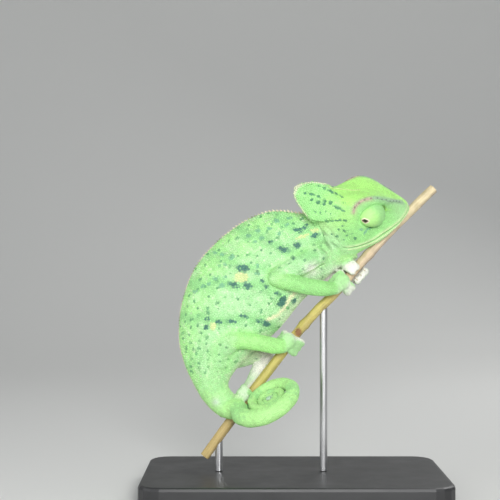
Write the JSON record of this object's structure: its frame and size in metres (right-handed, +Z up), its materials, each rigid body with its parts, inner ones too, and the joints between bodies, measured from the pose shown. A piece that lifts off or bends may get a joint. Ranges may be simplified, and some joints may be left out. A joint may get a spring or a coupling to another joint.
{
  "type": "flap-necked chameleon model",
  "caption": "Life-size still museum model of a green chameleon climbing a cut plant stem, tail coiled, on a rod stand.",
  "frame": {"origin": "centre of the stand base's underside", "axes": "+X towards the snout end of the climbing animal, +Z up, the animal's right side faces -Y"},
  "size_m": [0.126, 0.074, 0.1315],
  "materials": {
    "skin": "painted cast skin, pale lime green",
    "eyelids": "painted eyelid turrets, pale lime green",
    "stem": "dry herb stem, yellow tan",
    "stand_base": "satin dark grey",
    "stand_rods": "brushed"
  },
  "bodies": {
    "root": {"head": "skin", "neck": "skin", "trunk": "skin", "tail_base": "skin", "tail_outer_turn": "skin", "tail_inner_turn": "skin", "tail_tip": "skin", "lobe_right": "skin", "lobe_left": "skin", "arm_right_upper": "skin", "arm_right_lower": "skin", "arm_right_foot": "skin", "arm_left_upper": "skin", "arm_left_lower": "skin", "arm_left_foot": "skin", "leg_right_upper": "skin", "leg_right_lower": "skin", "leg_right_foot": "skin", "leg_left_upper": "skin", "leg_left_lower": "skin", "leg_left_foot": "skin", "eye_right": "eyelids", "eye_left": "eyelids", "perch_stem": "stem", "stand_base": "stand_base", "stand_rod_low": "stand_rods", "stand_rod_high": "stand_rods"}
  },
  "joints": []
}
